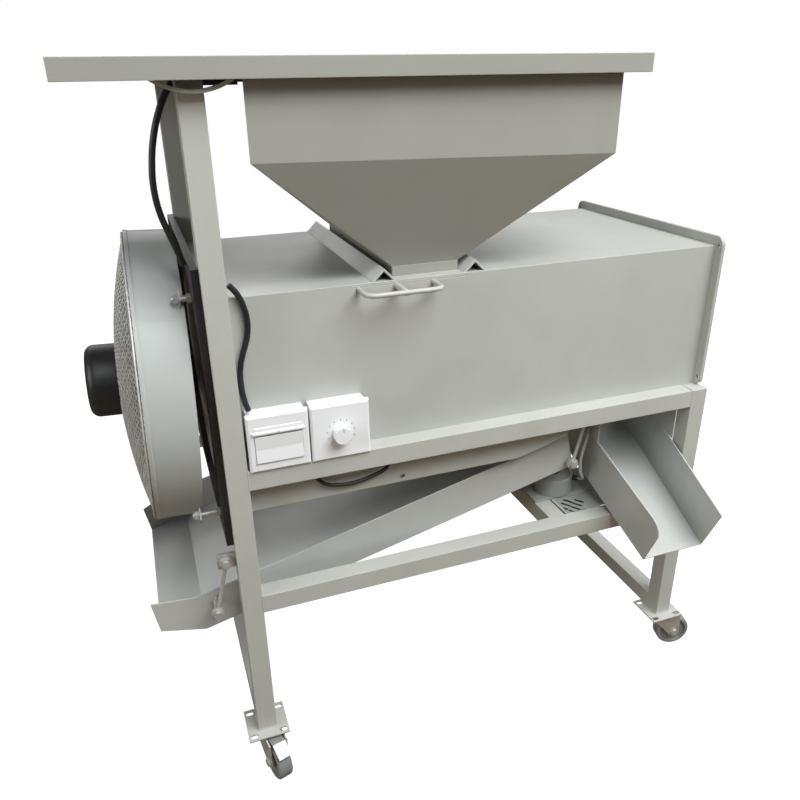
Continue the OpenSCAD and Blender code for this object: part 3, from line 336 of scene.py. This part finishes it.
def tubeFromRoutes(name, routes, radius, slotName, sides=2, smoothRoute=True):
    # One mesh of round tubes along given routes
    curve = bpy.data.curves.new(name, "CURVE")
    curve.dimensions = "3D"
    curve.bevel_depth = radius
    curve.bevel_resolution = sides
    curve.use_fill_caps = True
    curve.resolution_u = routeSteps
    for route in routes:
        if smoothRoute:
            spline = curve.splines.new("BEZIER")
            spline.bezier_points.add(len(route) - 1)
            for point, place in zip(spline.bezier_points, route):
                point.co = place
                point.handle_left_type = "AUTO"
                point.handle_right_type = "AUTO"
        else:
            spline = curve.splines.new("POLY")
            spline.points.add(len(route) - 1)
            for point, place in zip(spline.points, route):
                point.co = (*place, 1)
    source = linkObject(name + "Curve", curve)
    mesh = workedOutMesh(name, source)
    bpy.data.objects.remove(source)
    for face in mesh.polygons:
        face.use_smooth = True
    return finishPiece(linkObject(name, mesh), slotName)


# Cables, along the routes that the frame's own cables follow, in metres from the post's corner
cableRoutes = dict(
    fan_cable=[(0.002, 0.06, 1.06), (-0.006, 0.06, 1.05), (-0.017, 0.06, 1.03), (-0.027, 0.06, 1.003),
               (-0.034, 0.06, 0.97), (-0.036, 0.06, 0.94), (-0.033, 0.06, 0.912), (-0.027, 0.06, 0.89),
               (-0.02, 0.06, 0.868), (-0.014, 0.062, 0.846)],
    switch_cable=[(0.035, 0.024, 0.824), (0.044, 0.024, 0.812), (0.051, 0.024, 0.794), (0.054, 0.024, 0.772),
                  (0.051, 0.024, 0.75), (0.044, 0.024, 0.73), (0.039, 0.024, 0.712), (0.037, 0.024, 0.69),
                  (0.038, 0.02, 0.668), (0.042, 0.016, 0.65)],
    loop_cable=[(0.126, 0.024, 0.534), (0.134, 0.022, 0.518), (0.146, 0.021, 0.509), (0.16, 0.021, 0.505),
                (0.18, 0.021, 0.503), (0.2, 0.021, 0.505), (0.22, 0.021, 0.51), (0.238, 0.022, 0.517),
                (0.25, 0.024, 0.534)],
    motor_cable=[(0.623, 0.056, 0.5), (0.622, 0.058, 0.48), (0.619, 0.06, 0.46), (0.616, 0.061, 0.44),
                 (0.617, 0.062, 0.42), (0.621, 0.064, 0.404), (0.628, 0.068, 0.392), (0.632, 0.076, 0.384),
                 (0.631, 0.086, 0.38)],
)
cableRadius = dict(fan_cable=0.004, switch_cable=0.004, loop_cable=0.003, motor_cable=0.003)
cableSlot = dict(fan_cable="cable_black", switch_cable="cable_black", loop_cable="cable_black",
                 motor_cable="cable_grey")

for name, route in cableRoutes.items():
    places = [fromPost(*p) for p in route]
    cable = tubeFromRoutes(name + "_sheath", [places], cableRadius[name], cableSlot[name], sides=4)
    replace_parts(cable, name)

print("cables laid")

# Woven wire guard, dished away from the drum's back and leaning with the fan
fan = dict(hinge=(-0.017, 0.2225, 0.860), lean=2.6, radius=0.221, depth=0.066, dish=0.031, motor=0.055)
guard = dict(pitch=0.0088, wire=0.0010, rim=0.003, edge=0.010, gap=0.0006, band=0.9, wireSides=10,
             ringSteps=120)


def fanPlace(f):
    # Turns a place on the drum's axis, measured from the drum's front, into a place of the machine
    lean = Matrix.Rotation(math.radians(f["lean"]), 4, "Y")
    return Matrix.Translation(fromPost(*f["hinge"])) @ lean @ Matrix.Translation((0, 0, -f["radius"]))


def dishLine(f, g, r):
    outer = f["radius"] - g["edge"]
    domeR = (outer ** 2 + f["dish"] ** 2) / (2 * f["dish"])
    return -f["depth"] - (math.sqrt(domeR ** 2 - r ** 2) - (domeR - f["dish"])) - g["gap"]


def weaveRoutes(f, g, along):
    outer = f["radius"] - g["edge"]
    count = int(outer / g["pitch"])
    routes = []
    for i in range(-count, count + 1):
        offset = i * g["pitch"]
        span = int(math.sqrt(outer ** 2 - offset ** 2) / g["pitch"])
        run = []
        for j in range(-span, span + 1):
            t = j * g["pitch"]
            r = math.hypot(offset, t)
            if r < f["motor"]:
                routes.append(run)
                run = []
                continue
            over = g["wire"] * (1 if (i + j + along) % 2 else -1)
            run.append(Vector((dishLine(f, g, r) + over, *((offset, t) if along else (t, offset)))))
        routes.append(run)
    return [run for run in routes if len(run) > 1]


def ringMesh(f, g):
    # Round rim wire with the flat clamp band inside it
    bm = bmesh.new()
    upright = Matrix.Rotation(math.pi / 2, 4, "X")
    circle = bmesh.ops.create_circle(bm, segments=g["wireSides"], radius=g["rim"] / 2,
                                     matrix=Matrix.Translation((f["radius"] - g["rim"], 0, 0)) @ upright)
    bmesh.ops.spin(bm, geom=circle["verts"] + bm.edges[:], cent=(0, 0, 0), axis=(0, 0, 1),
                   angle=2 * math.pi, steps=g["ringSteps"], use_merge=True)
    band = bmesh.ops.create_circle(bm, segments=g["ringSteps"], radius=f["radius"] - g["rim"],
                                   cap_ends=False)
    inner = bmesh.ops.extrude_edge_only(bm, edges=list({e for v in band["verts"] for e in v.link_edges}))
    moved = [v for v in inner["geom"] if isinstance(v, bmesh.types.BMVert)]
    bmesh.ops.scale(bm, vec=(g["band"], g["band"], 1), verts=moved)
    bmesh.ops.transform(bm, matrix=Matrix.Rotation(-math.pi / 2, 4, "Y"), verts=bm.verts)
    bmesh.ops.translate(bm, vec=(-f["depth"] - g["gap"] - g["rim"] / 2, 0, 0), verts=bm.verts)
    bmesh.ops.transform(bm, matrix=fanPlace(f), verts=bm.verts)
    return bm


def buildGuard(f, g):
    place = fanPlace(f)
    routes = [[place @ p for p in run] for along in (0, 1) for run in weaveRoutes(f, g, along)]
    weave = tubeFromRoutes("guard_weave", routes, g["wire"], "guard_wire", sides=0, smoothRoute=False)
    rim = pieceFromBmesh("guard_rim", ringMesh(f, g), "guard_wire")
    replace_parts(weave, "fan_guard")
    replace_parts(rim, "fan_guard")


buildGuard(fan, guard)
print("guard woven")

# Sheet pieces: box with its cut apron, chute gusset, gate lip, tray strap, vented motor plate; and the
# motor's cable gland


def boxMatrix(low, high):
    # Turns a unit cube into the box between two corners
    low, high = Vector(low), Vector(high)
    return Matrix.Translation((low + high) / 2) @ Matrix.Diagonal((*(high - low), 1))


def addBox(bm, low, high):
    bmesh.ops.create_cube(bm, size=1.0, matrix=boxMatrix(low, high))


def cubeMesh(name, matrix):
    bm = bmesh.new()
    bmesh.ops.create_cube(bm, size=1.0, matrix=matrix)
    return meshFrom(name, bm)


def cutPiece(name, source, cutters, slotName):
    # Copy of a mesh with cuts made by stretched cubes
    work = linkObject(name + "Work", source)
    tools = []
    for matrix in cutters:
        tool = linkObject(name + "Tool", cubeMesh(name + "Tool", matrix))
        cut = work.modifiers.new("cut", "BOOLEAN")
        cut.operation = "DIFFERENCE"
        cut.solver = "EXACT"
        cut.object = tool
        tools.append(tool)
    mesh = workedOutMesh(name, work)
    for helper in [work] + tools:
        bpy.data.objects.remove(helper)
    mesh.shade_flat()
    return finishPiece(linkObject(name, mesh), slotName)


apron = dict(end=(0.5635, 0.5085), slope=15.47, length=0.14, drop=0.06, right=0.7852, front=0.028,
             back=0.036, bottom=0.47, top=0.5346, past=0.001, merge=0.00001)


def cutApron(a):
    # The front apron is cut along the trough's upper edge and stops at its end: the chute is open to the rail
    bm = bmesh.new()
    bm.from_mesh(nodes["wind_box"].data)
    bmesh.ops.remove_doubles(bm, verts=bm.verts, dist=a["merge"])
    endX, endZ = a["end"]
    beyond = boxMatrix(fromPost(endX, a["front"], a["bottom"]), fromPost(a["right"], a["back"], a["top"]))
    corner = fromPost(endX + a["past"], (a["front"] + a["back"]) / 2, endZ)
    slanted = (Matrix.Translation(corner) @ Matrix.Rotation(math.radians(-a["slope"]), 4, "Y")
               @ Matrix.Translation((-a["length"] / 2, 0, -a["drop"] / 2))
               @ Matrix.Diagonal((a["length"], a["back"] - a["front"], a["drop"], 1)))
    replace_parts(cutPiece("box_shell", meshFrom("boxShell", bm), [beyond, slanted], "box_sheet"), "wind_box")


cutApron(apron)

gusset = dict(inset=0.0003, thick=0.0014,
              corners=((0.0303, 0.4597), (0.268, 0.5598), (0.0325, 0.5598), (0.0325, 0.5344),
                       (0.0303, 0.5344)))


def addGusset(g):
    # Three-cornered sheet between the chute's right wall and the rail
    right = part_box("outlet_chute")[1].x - g["inset"]
    bm = bmesh.new()
    corners = [bm.verts.new((right, fromPost(0, y, 0).y, z)) for y, z in g["corners"]]
    face = bm.faces.new(corners)
    grown = bmesh.ops.extrude_face_region(bm, geom=[face])
    moved = [v for v in grown["geom"] if isinstance(v, bmesh.types.BMVert)]
    bmesh.ops.translate(bm, vec=(-g["thick"], 0, 0), verts=moved)
    pieceFromBmesh("chute_gusset", bm, "trough_sheet", smooth=False)


addGusset(gusset)

gateLip = dict(front=0.0301, back=0.0375, plate=0.002, spread=0.0006, under=0.0006, over=0.0002)


def addGateLip(g):
    # Folded front edge of the gate, which closes its slot when the gate is shut
    low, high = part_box("feed_gate")
    front = fromPost(0, g["front"], 0).y
    back = fromPost(0, g["back"], 0).y
    bm = bmesh.new()
    addBox(bm, (low.x - g["spread"], front, high.z - g["plate"] - g["under"]),
           (high.x + g["spread"], back, high.z + g["over"]))
    pieceFromBmesh("gate_lip", bm, "box_sheet", body="feed_gate", smooth=False)


addGateLip(gateLip)

strap = dict(length=0.092, sag=0.014, width=0.012, thick=0.0045, seat=0.0002, sliver=0.001, steps=28)


def addStrap(s):
    # Bent flat bar that hangs under the tray's front edge: its end face, swung along the arc and cut level
    low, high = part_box("tray_strap")
    radius = ((s["length"] / 2) ** 2 + s["sag"] ** 2) / (2 * s["sag"])
    half = math.acos((radius - s["sag"]) / radius)
    centre = Vector(((low.x + high.x) / 2, low.y, low.z + radius))
    bm = bmesh.new()
    addBox(bm, (centre.x - s["sliver"], low.y, centre.z - radius),
           (centre.x, low.y + s["width"], centre.z - radius + s["thick"]))
    side = [f for f in bm.faces if f.normal.x > 0.5]
    bmesh.ops.delete(bm, geom=[f for f in bm.faces if f not in side], context="FACES")
    bmesh.ops.rotate(bm, verts=bm.verts, cent=centre, matrix=Matrix.Rotation(half, 3, "Y"))
    bmesh.ops.spin(bm, geom=bm.faces[:] + bm.edges[:] + bm.verts[:], cent=centre, axis=(0, 1, 0),
                   angle=-2 * half, steps=s["steps"])
    bmesh.ops.bisect_plane(bm, geom=bm.verts[:] + bm.edges[:] + bm.faces[:],
                           plane_co=(0, 0, high.z - s["seat"]), plane_no=(0, 0, 1), clear_outer=True)
    bmesh.ops.holes_fill(bm, edges=[e for e in bm.edges if e.is_boundary])
    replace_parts(pieceFromBmesh("strap_bar", bm, "frame_paint", smooth=False), "tray_strap")


addStrap(strap)

motorPlate = dict(right=0.705, notchRight=0.5785, notchBack=0.080, sheetLow=0.0007, sheetHigh=0.0017,
                  over=0.001, slotSize=(0.018, 0.0058, 0.01), slotTurn=-54.0, step=(-0.0095, -0.009),
                  columns=(((0.598, 0.063), 3), ((0.6175, 0.056), 4)),
                  shadePan=(0.5795, 0.0312, 0.632, 0.074), shadePanLow=0.0001, shadePanHigh=0.0006)


def addMotorPlate(m):
    # Plate under the motor with two slanting columns of vents over a black pan. The plate takes the darker
    # motor grey as painted shade, and the pan's black is painted shade seen through the vents
    low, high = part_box("drive_base")
    over = m["over"]
    source = cubeMesh("plateBlank", boxMatrix(low, (postCorner.x + m["right"], high.y, high.z)))
    cutters = [boxMatrix((low.x - over, low.y - over, low.z - over),
                         fromPost(m["notchRight"], m["notchBack"], high.z + over)),
               boxMatrix((low.x - over, low.y - over, low.z + m["sheetHigh"]),
                         fromPost(m["right"] + over, m["notchBack"], high.z + over)),
               boxMatrix((low.x - over, low.y - over, low.z - over),
                         fromPost(m["right"] + over, m["notchBack"], low.z + m["sheetLow"]))]
    for (x, y), count in m["columns"]:
        for i in range(count):
            centre = fromPost(x + i * m["step"][0], y + i * m["step"][1], (low.z + high.z) / 2)
            cutters.append(Matrix.Translation(centre) @ Matrix.Rotation(math.radians(m["slotTurn"]), 4, "Z")
                           @ Matrix.Diagonal((*m["slotSize"], 1)))
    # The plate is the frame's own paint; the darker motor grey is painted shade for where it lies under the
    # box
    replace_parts(cutPiece("motor_plate", source, cutters, "motor_grey"), "drive_base")
    # Black pan under the vents: a plate below them, painted black as the shade seen through the slots
    left, front, right, back = m["shadePan"]
    bm = bmesh.new()
    addBox(bm, fromPost(left, front, low.z + m["shadePanLow"]), fromPost(right, back, low.z + m["shadePanHigh"]))
    pieceFromBmesh("vent_shade_pan", bm, "black_paint", smooth=False)


addMotorPlate(motorPlate)

gland = dict(end=(0.631, 0.086, 0.380), radius=0.0048, collar=0.0038, sunk=0.0008, sides=24, round=0.0006,
             roundSteps=3, rimAngle=1.0)


def addGland(g):
    # Cable gland on the motor's side, which takes the end of the light cable
    low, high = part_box("drive_motor")
    end = fromPost(*g["end"])
    axis = Vector(((low.x + high.x) / 2, (low.y + high.y) / 2, end.z))
    out = (end - axis).normalized()
    start = axis + out * ((high.x - low.x) / 2 - g["sunk"])
    length = (end - start).length + g["collar"]
    place = Matrix.Translation(start + out * length / 2) @ out.to_track_quat("Z", "Y").to_matrix().to_4x4()
    bm = bmesh.new()
    body = bmesh.ops.create_cone(bm, cap_ends=True, segments=g["sides"], radius1=g["radius"],
                                 radius2=g["collar"], depth=length, matrix=place)
    edges = {e for v in body["verts"] for e in v.link_edges}
    rims = [e for e in edges if len(e.link_faces) == 2 and e.calc_face_angle() > g["rimAngle"]]
    bmesh.ops.bevel(bm, geom=rims, offset=g["round"], segments=g["roundSteps"], profile=0.5,
                    affect="EDGES", material=-1)
    pieceFromBmesh("motor_gland", bm, "black_paint")


addGland(gland)
print("sheet pieces cut")

# Trim on the switches: half-round bar with its dot, and plain marks round the knob
switchTrim = dict(bar=0.0026, lift=0.0105, barRound=0.7, barSteps=5, dot=0.0013, dotTop=0.7, dotSides=20,
                  marks=11, sweep=270.0, start=0.0185, end=0.0215, thick=0.0005)


def addSwitchBar(t):
    low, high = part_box("rocker")
    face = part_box("switch_plate")[0].y
    z = high.z + t["lift"] / 2
    middle = ((low.x + high.x) / 2, face, z)
    size = Matrix.Diagonal((high.x - low.x, 2 * t["bar"], 2 * t["bar"], 1))
    bm = bmesh.new()
    bar = bmesh.ops.create_cube(bm, size=1.0, matrix=Matrix.Translation(middle) @ size)
    edges = list({e for v in bar["verts"] for e in v.link_edges})
    bmesh.ops.bevel(bm, geom=edges, offset=t["bar"] * t["barRound"], segments=t["barSteps"], profile=0.5,
                    affect="EDGES", material=-1)
    pieceFromBmesh("switch_bar", bm, "switch_white")
    bm = bmesh.new()
    flat = Matrix.Translation((middle[0], face - t["bar"], z)) @ Matrix.Rotation(math.pi / 2, 4, "X")
    bmesh.ops.create_cone(bm, cap_ends=True, segments=t["dotSides"], radius1=t["dot"],
                          radius2=t["dot"] * t["dotTop"], depth=t["dot"], matrix=flat)
    pieceFromBmesh("switch_dot", bm, "motor_grey")


def addKnobMarks(t):
    low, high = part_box("speed_knob")
    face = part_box("dial_plate")[0].y
    centre = ((low.x + high.x) / 2, face, (low.z + high.z) / 2)
    bm = bmesh.new()
    for i in range(t["marks"]):
        turn = math.radians(-t["sweep"] / 2 + i * t["sweep"] / (t["marks"] - 1))
        place = Matrix.Translation(centre) @ Matrix.Rotation(turn, 4, "Y")
        middle = Matrix.Translation((0, 0, (t["start"] + t["end"]) / 2))
        size = Matrix.Diagonal((t["thick"] * 2, t["thick"], t["end"] - t["start"], 1))
        bmesh.ops.create_cube(bm, size=1.0, matrix=place @ middle @ size)
    pieceFromBmesh("knob_marks", bm, "motor_grey", smooth=False)


addSwitchBar(switchTrim)
addKnobMarks(switchTrim)
print("switches trimmed")

# Weld beads along the frame's joints
weld = dict(tube=0.03, width=0.0024, step=0.0032, proud=0.0003, footProud=0.0005, footLift=0.001)


def weldRoute(start, end, w):
    start, end = Vector(start), Vector(end)
    count = max(2, int((end - start).length / w["step"]))
    return [start.lerp(end, i / count) for i in range(count + 1)]


def addWelds(w):
    tube = w["tube"]
    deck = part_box("mid_rails")[1].z
    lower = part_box("lower_rails")[1].z
    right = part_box("right_legs")[1].x - tube - postCorner.x
    lines = []
    for x in (tube, right):
        for top in (deck, lower):
            lines.append((fromPost(x, w["proud"], top - tube), fromPost(x, w["proud"], top)))
            lines.append((fromPost(x, 0, top + w["proud"]), fromPost(x, tube, top + w["proud"])))
    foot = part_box("left_posts")[0].z + w["footLift"]
    for x in (0, right):
        lines.append((fromPost(x, w["footProud"], foot), fromPost(x + tube, w["footProud"], foot)))
        lines.append((fromPost(x, 0, foot), fromPost(x, tube, foot)))
    routes = [weldRoute(a, b, w) for a, b in lines]
    tubeFromRoutes("frame_welds", routes, w["width"] / 2, "frame_paint", sides=1)


addWelds(weld)
print("welds laid")

# Floor, surroundings and lamps. The camera sees a white room; the machine gets its light from these tones
floorPlan = dict(size=8.0, drop=0.0006, shadowTone=(0.22, 0.22, 0.22), glow=0.965,
                 bounceTone=(0.20, 0.15, 0.09))
studio = dict(tone=(0.93, 0.96, 1.0), strength=0.13)
lamps = dict(
    keyLamp=dict(place=(0.9, -1.8, 3.0), target=(0, 0, 0.5), size=(2.6, 1.6), power=124,
                 color=(0.96, 0.99, 1.0)),
    topLamp=dict(place=(0.9, -0.7, 3.3), target=(0, 0, 0.55), size=(2.4, 2.2), power=44),
    leftLamp=dict(place=(-3.0, -0.8, 1.7), target=(-0.3, 0, 0.75), size=(1.6, 1.4), power=42),
    rearLamp=dict(place=(-0.1, 2.7, 1.9), target=(0, 0, 0.6), size=(3.0, 1.6), power=24),
    rightLamp=dict(place=(3.0, 0.5, 2.0), target=(0.2, 0, 0.6), size=(1.8, 1.8), power=18),
    windowLamp=dict(place=(-0.75, -2.5, 2.35), target=(-0.4, 0, 0.75), size=(1.3, 0.30), power=1.2,
                    color=(0.95, 0.98, 1.0)),
)


def addCameraPick(tree, unseen, seen, out):
    # One shader for what the camera sees, another for all other rays
    rays = addNode(tree, "ShaderNodeLightPath")
    pick = addNode(tree, "ShaderNodeMixShader")
    tree.links.new(rays.outputs["Is Camera Ray"], pick.inputs[0])
    tree.links.new(unseen.outputs[0], pick.inputs[1])
    tree.links.new(seen.outputs[0], pick.inputs[2])
    tree.links.new(pick.outputs[0], out.inputs[0])


def addFloor(f):
    bm = bmesh.new()
    bmesh.ops.create_grid(bm, x_segments=1, y_segments=1, size=f["size"])
    bmesh.ops.translate(bm, vec=(0, 0, -f["drop"]), verts=bm.verts)
    floor = linkObject("floor", meshFrom("floor", bm))
    mat = bpy.data.materials.new("paleFloor")
    mat.use_nodes = True
    tree = mat.node_tree
    tree.nodes.clear()
    diffuse = addNode(tree, "ShaderNodeBsdfDiffuse", in_Color=(*f["shadowTone"], 1))
    glow = addNode(tree, "ShaderNodeEmission", in_Color=(1, 1, 1, 1), in_Strength=f["glow"])
    both = addNode(tree, "ShaderNodeAddShader")
    tree.links.new(diffuse.outputs[0], both.inputs[0])
    tree.links.new(glow.outputs[0], both.inputs[1])
    plain = addNode(tree, "ShaderNodeBsdfDiffuse", in_Color=(*f["bounceTone"], 1))
    addCameraPick(tree, plain, both, addNode(tree, "ShaderNodeOutputMaterial"))
    floor.data.materials.append(mat)


def addWorld(s):
    world = bpy.data.worlds.new("studio")
    bpy.context.scene.world = world
    world.use_nodes = True
    tree = world.node_tree
    tree.nodes.clear()
    soft = addNode(tree, "ShaderNodeBackground", in_Color=(*s["tone"], 1), in_Strength=s["strength"])
    white = addNode(tree, "ShaderNodeBackground", in_Color=(1, 1, 1, 1), in_Strength=1.0)
    addCameraPick(tree, soft, white, addNode(tree, "ShaderNodeOutputWorld"))


def addLamp(name, place, target, size, power, color=(1, 1, 1)):
    data = bpy.data.lights.new(name, "AREA")
    data.shape = "RECTANGLE"
    data.size, data.size_y = size
    data.energy = power
    data.color = color
    aim = Vector(target) - Vector(place)
    turn = aim.to_track_quat("-Z", "Y").to_matrix().to_4x4()
    linkObject(name, data).matrix_world = Matrix.Translation(place) @ turn


addFloor(floorPlan)
addWorld(studio)
for name, lamp in lamps.items():
    addLamp(name, **lamp)
print("floor and lamps set")

bpy.context.scene.view_settings.view_transform = "Standard"
